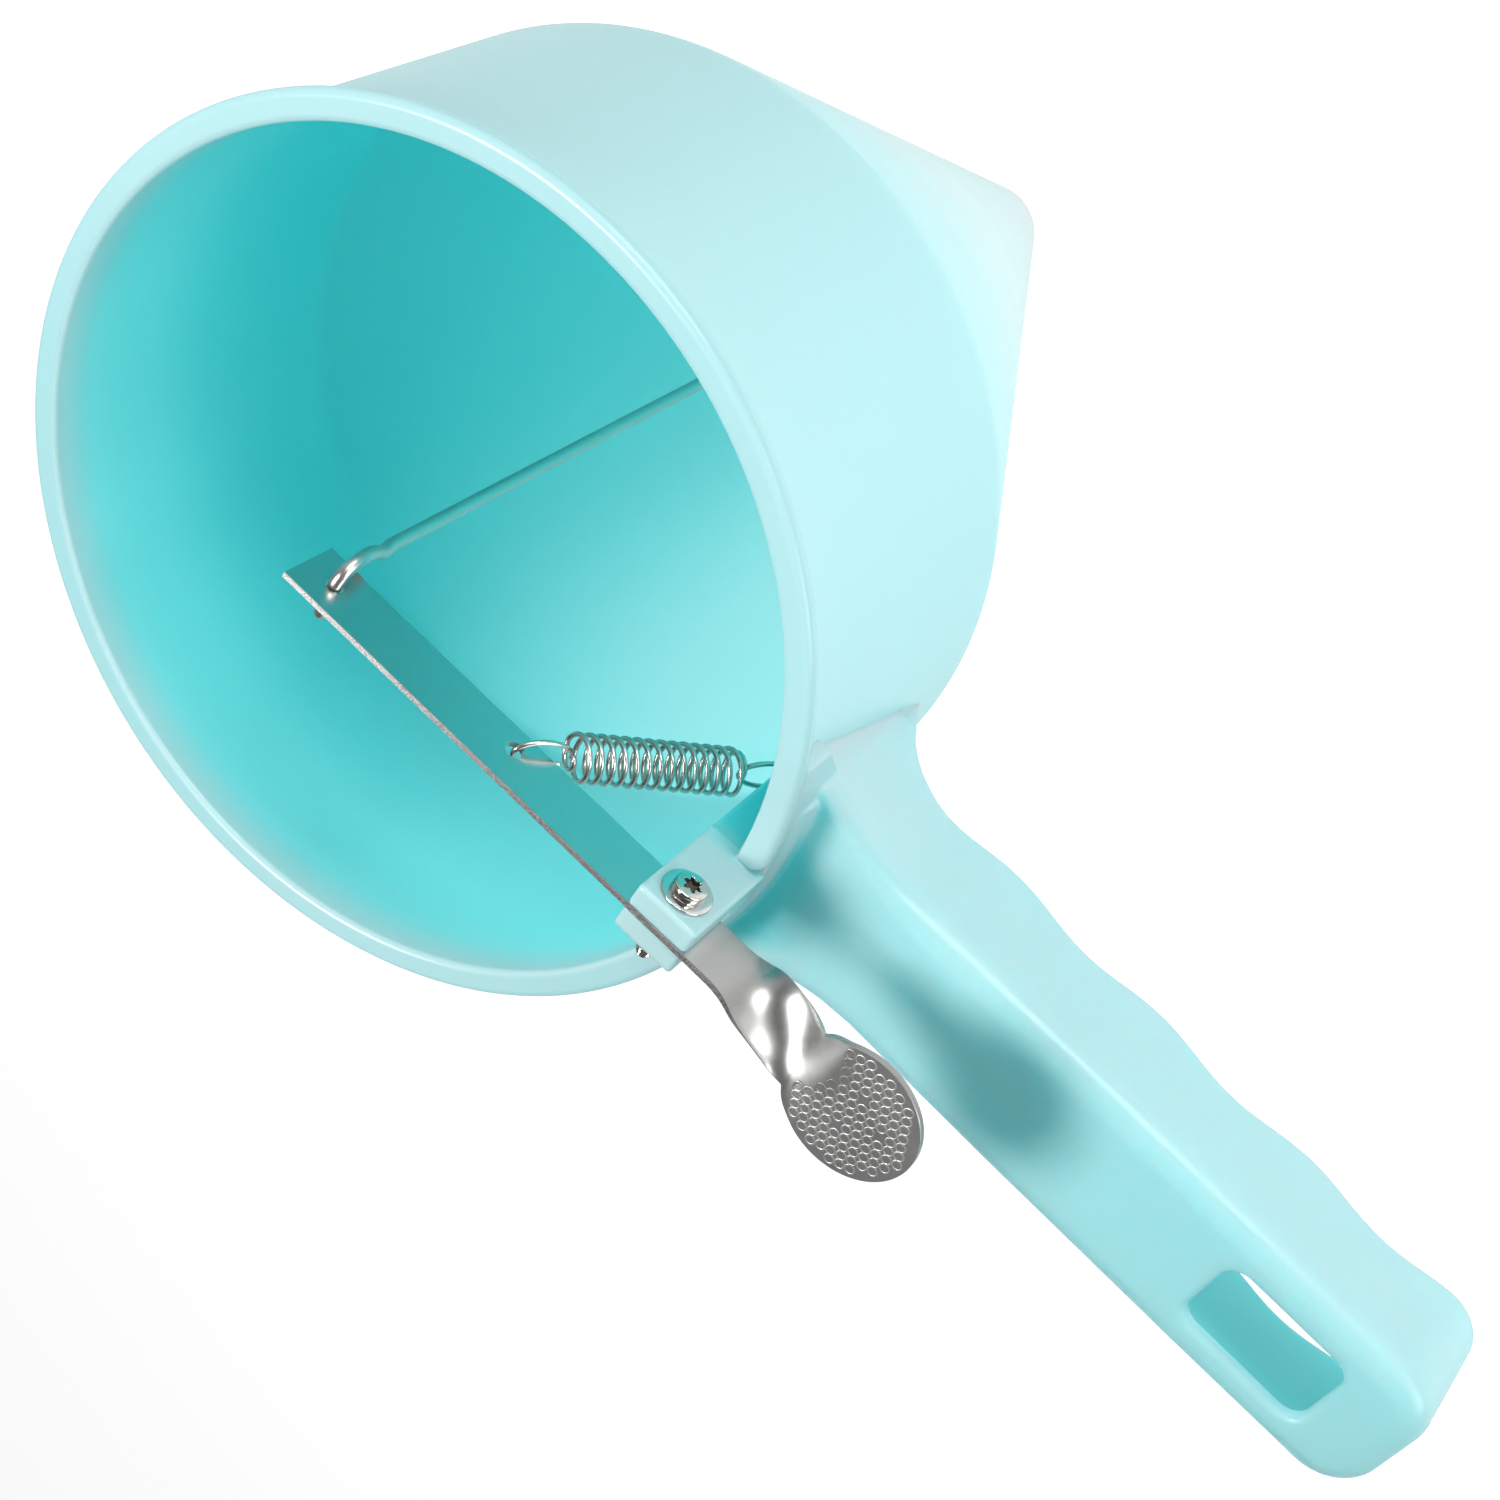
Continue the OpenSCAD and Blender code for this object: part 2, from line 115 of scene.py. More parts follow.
def make(name, verts, faces, mats=(), sharp=None):
    """A smooth mesh object from points in mm, with sharp edges past an angle in degrees."""
    mesh = bpy.data.meshes.new(name)
    mesh.from_pydata((np.asarray(verts, float) * 0.001).tolist(), [], [list(map(int, f)) for f in faces])
    mesh.validate()
    obj = bpy.data.objects.new(name, mesh)
    bpy.context.scene.collection.objects.link(obj)
    for m in mats:
        mesh.materials.append(m)
    mesh.polygons.foreach_set("use_smooth", [True] * len(mesh.polygons))
    if sharp is not None:
        mesh.set_sharp_from_angle(angle=math.radians(sharp))
    return obj


def paint(obj, name, values):
    """Stores a number for each point, for the materials to read."""
    layer = obj.data.attributes.new(name, "FLOAT", "POINT")
    layer.data.foreach_set("value", np.asarray(values, np.float32))


def grid_faces(n, m, wrap_n=False, wrap_m=False):
    """Quads between n rows of m points, closed round either way."""
    i, j = np.meshgrid(np.arange(n if wrap_n else n - 1), np.arange(m if wrap_m else m - 1), indexing="ij")
    i, j = i.ravel(), j.ravel()
    a, b = (i + 1) % n, (j + 1) % m
    return np.stack([i * m + j, a * m + j, a * m + b, i * m + b], 1)


def circle(sides):
    return np.linspace(0, 2 * math.pi, sides, endpoint=False)


def turned(profile, sides):
    """A profile of (radius, height) turned round an axis: two coordinates across it and one along it."""
    theta = circle(sides)[:, None]
    r, h = profile[:, 0][None, :], profile[:, 1][None, :]
    return r * np.cos(theta), r * np.sin(theta), np.broadcast_to(h, (sides, len(profile)))


def rounded(points, seg=6):
    """Closed outline with its corners rounded in seg steps: points are (x, y, radius)."""
    out = []
    n = len(points)
    for k in range(n):
        p = np.array(points[k][:2], float)
        r = points[k][2]
        a = np.array(points[k - 1][:2], float) - p
        b = np.array(points[(k + 1) % n][:2], float) - p
        la, lb = np.linalg.norm(a), np.linalg.norm(b)
        a, b = a / la, b / lb
        half = math.acos(max(-1.0, min(1.0, float(a @ b)))) / 2
        trim = r / math.tan(half) if r > 0 else 0
        if trim < 1e-6:
            out.append(p)
            continue
        trim = min(trim, la * 0.49, lb * 0.49)
        r = trim * math.tan(half)
        c = p + (a + b) / np.linalg.norm(a + b) * (r / math.sin(half))
        v0, v1 = p + a * trim - c, p + b * trim - c
        turn = math.atan2(v0[0] * v1[1] - v0[1] * v1[0], float(v0 @ v1))
        for s in range(seg + 1):
            t = turn * s / seg
            out.append(c + np.array([v0[0] * math.cos(t) - v0[1] * math.sin(t),
                                     v0[0] * math.sin(t) + v0[1] * math.cos(t)]))
    return np.array(out)


def split_long(points, step, closed=True):
    """Adds points to an outline where two are more than a step apart."""
    out = []
    n = len(points)
    for k in range(n if closed else n - 1):
        p, q = points[k], points[(k + 1) % n]
        c = max(1, int(np.linalg.norm(q - p) / step))
        out += [p + (q - p) * s / c for s in range(c)]
    if not closed:
        out.append(points[-1])
    return np.array(out)


def sweep(path, radii, sides=16):
    """Round wire with flat ends along a path in mm, with a radius for each point."""
    n = len(path)
    d = np.gradient(path, axis=0)
    d /= np.linalg.norm(d, axis=1)[:, None]
    w = np.cross(d[0], [0.3, 1.0, 0.2])
    w /= np.linalg.norm(w)
    verts = []
    a = circle(sides)[:, None]
    for k in range(n):
        w = w - (w @ d[k]) * d[k]
        w /= np.linalg.norm(w)
        verts.append(path[k] + radii[k] * (np.cos(a) * w + np.sin(a) * np.cross(d[k], w)))
    faces = [tuple(f) for f in grid_faces(n, sides, wrap_m=True)[:, ::-1]]
    faces.append(tuple(range(sides)))
    faces.append(tuple(reversed(range((n - 1) * sides, n * sides))))
    return np.concatenate(verts), faces


def round_ends(path, r, steps):
    """Adds rounded ends to a wire's path: returns the path and its radii."""
    radii = np.full(len(path), float(r))
    for end in (0, -1):
        d = path[end] - path[1 if end == 0 else -2]
        d /= np.linalg.norm(d)
        turns = [math.pi / 2 * s / steps for s in range(1, steps + 1)]
        points = [path[end] + d * r * 0.6 * math.sin(t) for t in turns]
        sizes = [max(r * math.cos(t), r * 0.08) for t in turns]
        if end == 0:
            path = np.concatenate([points[::-1], path])
            radii = np.concatenate([sizes[::-1], radii])
        else:
            path = np.concatenate([path, points])
            radii = np.concatenate([radii, sizes])
    return path, radii


def smooth_path(points, step):
    """Catmull-Rom curve through points."""
    p = np.asarray(points, float)
    p = np.concatenate([[2 * p[0] - p[1]], p, [2 * p[-1] - p[-2]]])
    out = []
    for k in range(1, len(p) - 2):
        a, b, c, d = p[k - 1:k + 3]
        m = max(2, int(np.linalg.norm(c - b) / step))
        t = (np.arange(m) / m)[:, None]
        out.append(0.5 * (2 * b + (c - a) * t + (2 * a - 5 * b + 4 * c - d) * t ** 2
                          + (3 * b - a - 3 * c + d) * t ** 3))
    out.append(p[-2:-1])
    return np.concatenate(out)


# ---------------------------------------------------------------- distance fields
def meet(a, b, r):
    """Rounded intersection of two distances."""
    return np.minimum(np.maximum(a, b), -r) + np.hypot(np.maximum(a + r, 0), np.maximum(b + r, 0))


def cut(a, b, r):
    """a without b, with the edge rounded."""
    return meet(a, -b, r)


def join(a, b, r):
    """Rounded union: a fillet of radius r where two surfaces meet."""
    return np.maximum(np.minimum(a, b), r) - np.hypot(np.maximum(r - a, 0), np.maximum(r - b, 0))


def rounded_rect(x, y, half_x, half_y, r):
    qx, qy = np.abs(x) - (half_x - r), np.abs(y) - (half_y - r)
    return np.hypot(np.maximum(qx, 0), np.maximum(qy, 0)) + np.minimum(np.maximum(qx, qy), 0) - r


def rounded_box(p, low, high, r):
    q = np.abs(p - (low + high) / 2) - ((high - low) / 2 - r)
    return np.linalg.norm(np.maximum(q, 0), axis=-1) + np.minimum(q.max(-1), 0) - r


CELL_CORNERS = [(a, b, c) for a in (0, 1) for b in (0, 1) for c in (0, 1)]


def grid_values(f, low, n, h):
    """f at each point of a grid, one slice at a time."""
    axes = [low[k] + h * np.arange(n[k]) for k in range(3)]
    y, z = np.meshgrid(axes[1], axes[2], indexing="ij")
    value = np.empty(n)
    for i in range(n[0]):
        value[i] = f(np.stack([np.full_like(y, axes[0][i]), y, z], -1))
    return value


def cell_points(value):
    """The cells that the surface crosses, and the mean of its crossings with each cell's edges."""
    m = np.array(value.shape) - 1
    inside = value < 0
    part = {k: tuple(slice(k[t], k[t] + m[t]) for t in range(3)) for k in CELL_CORNERS}
    count = sum(inside[part[k]].astype(np.int8) for k in CELL_CORNERS)
    cells = np.argwhere((count > 0) & (count < 8))
    total = np.zeros((len(cells), 3))
    hits = np.zeros(len(cells))
    for axis in range(3):
        for k in CELL_CORNERS:
            if k[axis]:
                continue
            other = tuple(v + (t == axis) for t, v in enumerate(k))
            a = value[tuple((cells + k).T)]
            b = value[tuple((cells + other).T)]
            on = (a < 0) != (b < 0)
            at = np.tile(np.array(k, float), (len(cells), 1))
            at[:, axis] += np.where(on, a / np.where(on, a - b, 1), 0)
            total += at * on[:, None]
            hits += on
    return cells, cells + total / hits[:, None]


def cell_quads(value, cells):
    """A quad round each edge of the grid that the surface crosses, between its four cells."""
    n = value.shape
    inside = value < 0
    index = -np.ones([k - 1 for k in n], int)
    index[tuple(cells.T)] = np.arange(len(cells))
    faces = []
    for axis in range(3):
        u, v = (axis + 1) % 3, (axis + 2) % 3
        first, second = [slice(None)] * 3, [slice(None)] * 3
        first[axis], second[axis] = slice(0, -1), slice(1, None)
        before = inside[tuple(first)]
        e = np.argwhere(before != inside[tuple(second)])
        e = e[(e[:, u] > 0) & (e[:, u] < n[u] - 1) & (e[:, v] > 0) & (e[:, v] < n[v] - 1)]
        ring = []
        for du, dv in ((-1, -1), (0, -1), (0, 0), (-1, 0)):
            c = e.copy()
            c[:, u] += du
            c[:, v] += dv
            ring.append(index[tuple(c.T)])
        quads = np.stack(ring, 1)
        flip = ~before[tuple(e.T)]
        quads[flip] = quads[flip][:, ::-1]
        faces.append(quads)
    return np.concatenate(faces)


def pull_to_surface(f, verts, h, times=4, reach=0.03):
    """Moves points down the slope of f to where f is 0, half a cell at most each time."""
    for _ in range(times):
        slope = np.stack([(f(verts + off) - f(verts - off)) / (2 * reach) for off in np.eye(3) * reach], -1)
        step = f(verts)[:, None] * slope / np.maximum((slope * slope).sum(-1), 0.05)[:, None]
        size = np.linalg.norm(step, axis=1)[:, None]
        verts = verts - step * np.minimum(1, 0.5 * h / np.maximum(size, 1e-9))
    return verts


def mesh_of(f, low, high, h):
    """Surface of f = 0 in a box, as a grid of quads with cells of size h."""
    low, high = np.array(low, float), np.array(high, float)
    value = grid_values(f, low, np.ceil((high - low) / h).astype(int) + 1, h)
    cells, points = cell_points(value)
    return pull_to_surface(f, low + h * points, h), cell_quads(value, cells)


def keep_points(verts, faces, on):
    """Drops the points where on is false, with their faces."""
    faces = faces[on[faces].all(1)]
    used = np.zeros(len(verts), bool)
    used[faces.ravel()] = True
    return verts[used], (np.cumsum(used) - 1)[faces]


# ---------------------------------------------------------------- material helpers
def rgb(r, g, b):
    return (r, g, b, 1)


def scaled(colour, k):
    return tuple(min(1, c * k) for c in colour[:3]) + (1,)


class Nodes:
    """Short calls to build the node tree of a material or a world."""

    def __init__(self, owner):
        owner.use_nodes = True
        self.owner = owner
        self.tree = owner.node_tree

    def add(self, kind, inputs=None, **props):
        node = self.tree.nodes.new(kind)
        for k, v in props.items():
            setattr(node, k, v)
        for k, v in (inputs or {}).items():
            self.put(node, k, v)
        return node

    def put(self, node, key, value):
        socket = node.inputs[key]
        if isinstance(value, bpy.types.NodeSocket):
            self.tree.links.new(value, socket)
        else:
            socket.default_value = value

    def calc(self, op, a, b):
        return self.add("ShaderNodeMath", {0: a, 1: b}, operation=op).outputs[0]

    def times(self, a, b):
        return self.calc("MULTIPLY", a, b)

    def plus(self, a, b):
        return self.calc("ADD", a, b)

    def span(self, value, a, b, c=0.0, d=1.0, kind="SMOOTHSTEP"):
        """c at a and d at b, with a soft change between them."""
        inputs = {"Value": value, "From Min": a, "From Max": b, "To Min": c, "To Max": d}
        return self.add("ShaderNodeMapRange", inputs, interpolation_type=kind).outputs["Result"]

    def mix(self, factor, a, b):
        return self.add("ShaderNodeMix", {0: factor, 6: a, 7: b}, data_type="RGBA").outputs[2]

    def grey(self, value):
        return self.add("ShaderNodeCombineXYZ", {0: value, 1: value, 2: value}).outputs[0]

    def noise(self, vector, scale, detail=0.0):
        inputs = {"Vector": vector, "Scale": scale, "Detail": detail}
        return self.add("ShaderNodeTexNoise", inputs).outputs["Fac"]

    def painted(self, name):
        """A number that paint() stored for each point, or 0 where there is none."""
        return self.add("ShaderNodeAttribute", attribute_name=name, attribute_type="GEOMETRY").outputs["Fac"]

    def place(self):
        return self.add("ShaderNodeTexCoord").outputs["Object"]

    def xyz(self, vector):
        return self.add("ShaderNodeSeparateXYZ", {0: vector}).outputs

    def vector(self, op, inputs, output=0):
        return self.add("ShaderNodeVectorMath", inputs, operation=op).outputs[output]

    def wobble(self, vector, scale, amount, detail=2.0):
        """The surface normal, tipped a little by noise."""
        tex = self.add("ShaderNodeTexNoise", {"Vector": vector, "Scale": scale, "Detail": detail})
        off = self.vector("SUBTRACT", {0: tex.outputs["Color"], 1: (0.5, 0.5, 0.5)})
        soft = self.vector("SCALE", {0: off, 3: amount})
        face = self.add("ShaderNodeNewGeometry").outputs["Normal"]
        return self.vector("NORMALIZE", {0: self.vector("ADD", {0: face, 1: soft})})

    def principled(self, **inputs):
        return self.add("ShaderNodeBsdfPrincipled", {k.replace("_", " "): v for k, v in inputs.items()})

    def finish(self, shader):
        """Ends a material with its output, and returns the material."""
        self.add("ShaderNodeOutputMaterial", {"Surface": shader})
        return self.owner


def new_material(name):
    n = Nodes(bpy.data.materials.new(name))
    n.tree.nodes.clear()
    return n


# ---------------------------------------------------------------- materials
OUTER = rgb(0.53, 0.70, 0.715)
# painted shade: the deeper teal down inside the hopper
INSIDE_SHADED = rgb(0.20, 0.97, 0.98)
PAINTED_LIGHT = rgb(0.75, 0.735, 0.73)  # painted light on the cone outside
PAINTED_LIGHT_IN = rgb(0.70, 0.86, 0.865)  # painted light inside, where light comes through the wall
SHADED = rgb(0.22, 0.50, 0.52)
CLOUD = rgb(0.9, 0.98, 0.98)
SPECK = rgb(0.02, 0.25, 0.27)
GLOW = rgb(0.10, 0.80, 0.83)
GLOW_SHARE = 0.40
PLASTIC_IOR = 1.49
SPREAD_DEPTH = 0.007  # m, how far light spreads under the surface
SPREAD_RGB = (0.1, 1.0, 1.0)


def plastic(name, outer, inner, light_shade_tone, spread=0.0):
    """Semi-translucent glossy plastic. The painted inside_shade runs from 0 outside to 1 down inside the
    hopper and mixes in the inner colour as painted shade; painted_light_shade mixes in the light_shade_tone
    colour as painted light on the hopper and painted shade on the handle, and shade mixes in the shaded one
    as painted shade."""
    n = new_material(name)
    p = n.place()
    inside_shade, painted_light_shade, shade = n.painted("inside_shade"), n.painted("painted_light_shade"), n.painted("shade")
    light_shade_colour = n.mix(inside_shade, light_shade_tone, PAINTED_LIGHT_IN)
    colour = n.mix(painted_light_shade, n.mix(inside_shade, outer, inner), light_shade_colour)
    colour = n.mix(shade, colour, SHADED)
    colour = n.mix(n.times(n.noise(p, 14.0), 0.06), colour, CLOUD)
    # a few specks, in the rare cells whose random colour is high
    cell = n.add("ShaderNodeTexVoronoi", {"Vector": p, "Scale": 42.0}, feature="F1")
    dot = n.span(cell.outputs["Distance"], 0.018, 0.03, 1.0, 0.0)
    rare = n.span(n.xyz(cell.outputs["Color"])[0], 0.93, 0.94)
    colour = n.mix(n.times(n.times(dot, rare), 0.35), colour, SPECK)
    normal = n.wobble(p, 120.0, 0.01, 0.0)
    rough = n.plus(n.times(n.noise(p, 60.0), 0.08), 0.2)
    body = n.principled(Base_Color=colour, Roughness=rough, IOR=PLASTIC_IOR, Normal=normal,
                        Specular_IOR_Level=0.5, Subsurface_Weight=spread, Subsurface_Radius=SPREAD_RGB,
                        Subsurface_Scale=SPREAD_DEPTH)
    body.subsurface_method = "BURLEY"
    through = n.mix(painted_light_shade, n.mix(0.6, colour, GLOW), light_shade_colour)
    glow = n.add("ShaderNodeBsdfTranslucent", {"Color": through, "Normal": normal})
    both = n.add("ShaderNodeMixShader", {0: GLOW_SHARE, 1: body.outputs[0], 2: glow.outputs[0]})
    return n.finish(both.outputs[0])


def lever_marks(n, p, soft, colour, rough):
    """The lever's own look along x in metres: darker twist, dark pad, rings with a painted highlight on
    their crests, torn upper edge.
    """
    x = n.xyz(p)[0]
    twist_darker = n.times(n.span(x, 0.064, 0.068), n.span(x, 0.078, 0.088, 1.0, 0.0))
    colour = n.mix(twist_darker, colour, rgb(0.36, 0.36, 0.35))
    pad_colour = n.mix(soft, rgb(0.30, 0.30, 0.295), rgb(0.35, 0.35, 0.345))
    colour = n.mix(n.span(x, 0.086, 0.09), colour, pad_colour)
    # painted highlight on the rings' crests
    colour = n.mix(n.painted("ring"), colour, rgb(0.85, 0.85, 0.83))
    # black and white grains, with more black towards the pad
    level = n.span(x, -0.01, 0.05, 0.36, 0.52)
    grains = n.span(n.noise(p, 5200.0), n.calc("SUBTRACT", level, 0.04), n.plus(level, 0.14))
    black = n.grey(n.span(x, 0.0, 0.04, 0.42, 0.2))
    white = n.grey(n.span(x, 0.0, 0.04, 0.8, 0.5))
    edge = n.painted("edge")
    colour = n.mix(edge, colour, n.mix(grains, black, white))
    pad = n.plus(n.span(x, 0.084, 0.089, 0.0, 0.7), n.span(x, 0.07, 0.078, 0.0, 0.3))
    return colour, n.plus(rough, n.times(n.calc("MAXIMUM", edge, pad), 0.24))


def steel(name, tint, rough, wave, grain, lever=False):
    """Rolled or drawn steel: soft patches and fine grain."""
    n = new_material(name)
    p = n.place()
    soft = n.noise(p, 110.0)
    fine = n.noise(p, 1300.0)
    colour = n.mix(n.times(soft, 0.2), tint, scaled(tint, 0.85))
    colour = n.mix(n.times(fine, grain), colour, scaled(tint, 1.25))
    roughness = n.plus(n.times(n.plus(fine, soft), rough * 0.2), rough * 0.8)
    if lever:
        colour, roughness = lever_marks(n, p, soft, colour, roughness)
    body = n.principled(Base_Color=colour, Metallic=1.0, Roughness=roughness,
                        Normal=n.wobble(p, 300.0, wave, 0.0))
    return n.finish(body.outputs[0])


def plated(name, tint, rough):
    """Bright plated metal with faint patches."""
    n = new_material(name)
    p = n.place()
    soft = n.noise(p, 500.0, 3.0)
    colour = n.mix(n.span(soft, 0.3, 0.7, 0.0, 0.3), tint, scaled(tint, 0.8))
    body = n.principled(Base_Color=colour, Metallic=1.0, Roughness=n.span(soft, 0.3, 0.7, rough, rough * 2),
                        Normal=n.wobble(p, 900.0, 0.02))
    return n.finish(body.outputs[0])


def silicone():
    n = new_material("milky_silicone")
    p = n.place()
    colour = n.mix(n.noise(p, 160.0, 3.0), rgb(0.82, 0.86, 0.85), rgb(0.88, 0.9, 0.89))
    body = n.principled(Base_Color=colour, Roughness=0.45, Normal=n.wobble(p, 200.0, 0.03),
                        Subsurface_Weight=0.2, Subsurface_Scale=0.003)
    return n.finish(body.outputs[0])


shell_mat = plastic("turquoise_shell", OUTER, INSIDE_SHADED, PAINTED_LIGHT)
# handle: the third colour is the deeper teal of the painted shade and shadow on its top face
handle_mat = plastic("turquoise_handle", rgb(0.50, 0.66, 0.68), rgb(0.25, 0.78, 0.80), rgb(0.05, 0.55, 0.57),
                     spread=0.75)
bracket_mat = plastic("turquoise_bracket", rgb(0.50, 0.70, 0.715), rgb(0.12, 0.78, 0.80), PAINTED_LIGHT)
lever_mat = steel("stamped_steel", rgb(0.56, 0.56, 0.55), 0.24, wave=0.02, grain=0.05, lever=True)
rod_mat = steel("drawn_wire", rgb(0.52, 0.51, 0.49), 0.30, wave=0.04, grain=0.3)
spring_mat = steel("spring_wire", rgb(0.55, 0.54, 0.50), 0.25, wave=0.02, grain=0.3)
screw_mat = plated("plated_screw", rgb(0.62, 0.59, 0.55), 0.08)
recess_mat = plated("screw_recess", rgb(0.16, 0.13, 0.11), 0.3)
washer_mat = plated("plated_washer", rgb(0.62, 0.62, 0.61), 0.10)
plug_mat = silicone()


# ---------------------------------------------------------------- hopper shell
def cone_r(z):
    return TIP_R + SLOPE * z


def paint_hopper(obj, verts):
    x, y, z = verts.T
    mid = np.where(z > BARREL_Z, R_LOW, cone_r(np.minimum(z, BARREL_Z))) - WALL / 2
    inside = (np.hypot(x, y) < mid - 0.02) & (z > OUTLET_L)
    # painted shade inside: a deeper teal that grows from the lip down
    depth = ramp(z, LIP_Z - 0.4, LIP_Z - 9.4)
    paint(obj, "inside_shade", inside * depth * depth * (3 - 2 * depth))
    # painted light: the cone is lighter outside, and inside a pool of light is painted where light comes
    # through the wall on the handle's side
    outside = 0.85 * ramp(z, BARREL_Z + 2, BARREL_Z - 58)
    through = ramp(x, -48, 32) ** 1.3 * np.maximum(ramp(z, LIP_Z - 9, LIP_Z - 84), 0.1)
    through = np.minimum(through, 0.85) * ramp(y, 20, -20) + 0.15 * ramp(z, LIP_Z - 33, LIP_Z - 19)
    paint(obj, "painted_light_shade", np.where(inside, through * 0.8, outside))
    # painted shade: the far side of the hopper and the bead are a little darker
    away = -(0.75 * x + 0.66 * y) / R_TOP
    bead = 0.15 * ramp(z, LIP_Z - 3.0, LIP_Z - 2.5)
    paint(obj, "shade", np.where(inside, 0, np.maximum(bead, 0.42 * ramp(away, 0.2, 1.0))))


def build_hopper():
    """Turned shell of barrel and cone. The bead round the lip fades out beside the lugs."""
    over = 0.05  # the lip is drawn a little too high and then cut flat
    inner_cone_z = 11.2
    profile = rounded([
        (OUTLET_R, 0, 0.35), (TIP_R, 0, 1.5), (R_LOW, BARREL_Z, 9.0), (R_TOP, BEAD_LOW, 0.5),
        (BEAD_R - 0.05, BEAD_LOW, 1.0), (BEAD_R, LIP_Z + over, 1.25),
        (R_TOP - WALL, LIP_Z + over, 1.15), (R_LOW - WALL, BARREL_Z + 0.4, 9.0),
        (cone_r(inner_cone_z) - WALL, inner_cone_z, 2.0), (SEAT_R, SEAT_Z, 0.6), (OUTLET_R, OUTLET_L, 0.5),
    ], 7)
    profile[:, 1] = np.minimum(profile[:, 1], LIP_Z)
    profile = split_long(profile, 6.0)
    # fine steps at the lugs, coarse ones round the rest
    theta = np.radians(np.concatenate([np.arange(-9, 9.001, 0.2), np.arange(10, 350.5, 1.25)]))[:, None]
    r, z = profile[:, 0][None, :], profile[:, 1][None, :]
    t = ramp(np.abs(R_TOP * np.sin(theta)), BEAD_GAP, BEAD_GAP + 2.3)
    full = np.where(np.cos(theta) > 0, np.sqrt(np.maximum(0, 1 - (1 - t) ** 2)), 1.0)
    rim = z > LIP_Z - 3.2
    rr = np.where(rim & (r > R_TOP), R_TOP + (r - R_TOP) * full, r)
    zz = np.where(rim, z - (1 - full) * 0.5 * ramp(z, LIP_Z - 1.6, LIP_Z), z)
    verts = np.stack([rr * np.cos(theta), rr * np.sin(theta), zz], -1).reshape(-1, 3)
    faces = grid_faces(len(theta), len(profile), wrap_n=True, wrap_m=True)
    obj = make("hopper_shell", verts, faces, [shell_mat])
    paint_hopper(obj, verts)
    return obj


# ---------------------------------------------------------------- handle
def handle_local(p):
    """Handle's own axes: along the top face, across, and up from the top face."""
    x, z = p[..., 0] - TOP_X, p[..., 2] - TOP_Z
    c, s = math.cos(HANDLE_LEAN), math.sin(HANDLE_LEAN)
    return TOP_X + x * c + z * s, p[..., 1], z * c - x * s


def half_width(x, z):
    """Half the handle's width: flared at the root, and drawn in below the flare."""
    flare = np.clip((82.0 - x) / 18.0, 0, 1.1) ** 1.5 * ROOT_FLARE * ramp(z, FLARE_LOW, FLARE_HIGH) ** 1.5
    draft = np.clip((DRAFT_FROM - z) * 0.35, 0, 3.8) * ramp(x, 72.0, 68.0)
    plain = np.interp(x, [60, 72, 112, 146, 168, 180], [12.0, 12.0, 12.6, 12.5, 12.2, 12.2])
    return plain + flare - draft


def lower_edge(x):
    """Height of the handle's lower edge: finger grips, then a curve down the barrel's wall."""
    d = np.maximum(HANDLE_END - 5.3 - x, 0)
    grips = LIP_Z - 23.9 - 0.00057 * d * d - GRIP_DEPTH * np.cos(2 * math.pi * d / GRIP_PITCH)
    root = np.interp(x, [60, 62.1, 63.25, 64.4, 65.1, 66, 67, 68.4, 70.2, 72.6, 74.5, ROOT_X],
                     [143.0, 143.2, 147.3, 151.0, 152.8, 154.7, 156.4, 158.2, 159.9, 161.5, 162.4, 163.0])
    return np.where(x < ROOT_X, root, grips)


def handle_field(p, inset=0.0):
    """Distances to the handle's outline seen from above and to its top face."""
    x, y, z = handle_local(p)
    w = half_width(p[..., 0], p[..., 2])
    plan = rounded_rect(x - (HANDLE_END - HANDLE_HALF_L), y * (HANDLE_HALF / w), HANDLE_HALF_L - inset,
                        HANDLE_HALF - inset, max(HANDLE_CORNER - inset, 1.0))
    return plan, z + inset


def barrel_field(p, grow=0.0):
    """Outside of the hopper without its bead."""
    r, z = np.hypot(p[..., 0], p[..., 1]), p[..., 2]
    return r - np.interp(z, [0, BARREL_Z, LIP_Z], [TIP_R, R_LOW, R_TOP]) - grow


def root_field(p):
    """Where the handle grows out of the barrel: a face under the bead, a band beside it, a web below."""
    x, y, z = p[..., 0], np.abs(p[..., 1]), p[..., 2]
    r = np.hypot(x, y)
    under = BEAD_LOW - z
    face = meet(r - (BEAD_R - 0.05) - np.maximum(under, 0) * 0.145, y - FACE_HALF - under * 0.15, 0.25)
    face = np.maximum(face, FACE_LOW - z)
    band = meet(r - (BEAD_R - 0.02), y - BAND_HALF, 0.3)
    band = meet(band, (BAND_LOW + (y - 16.5) * 0.82 - z) * 0.77, 0.3)
    web = 0.673 * x + 0.74 * y - np.interp(z, [143, 148, 160, 178, 190], [48.0, 49.1, 51.7, 54.7, 56.5])
    web = np.maximum(meet(web, r - BEAD_R, 0.3), WEB_LOW - z)
    body = np.minimum(np.minimum(face, band), join(web, band, 0.2))
    # level with the bead above, and open towards the barrel's wall
    body = np.maximum(body, z - (LIP_Z - 1.5))
    return np.maximum(body, 59.0 - r)


def handle_sdf(p):
    x, y, z = p[..., 0], p[..., 1], p[..., 2]
    plan, top = handle_field(p)
    body = meet(plan, top, np.interp(x, [64, 72, 86], [0.9, 1.5, 4.0]))
    body = join(body, root_field(p), 0.3)
    room = meet(*handle_field(p, HANDLE_WALL), 1.6)
    shell = cut(body, room, 0.3)
    shell = cut(shell, rounded_rect(x - SLOT_X, y, SLOT_HALF_L, SLOT_HALF_W, SLOT_CORNER), 1.1)
    return meet(shell, (lower_edge(x) - z) * 0.93, 0.75)


def handle_union(p):
    """The handle with its fillet on the barrel. Its edge ends just under the hopper's wall."""
    return join(handle_sdf(p), barrel_field(p, -0.12), 0.3)


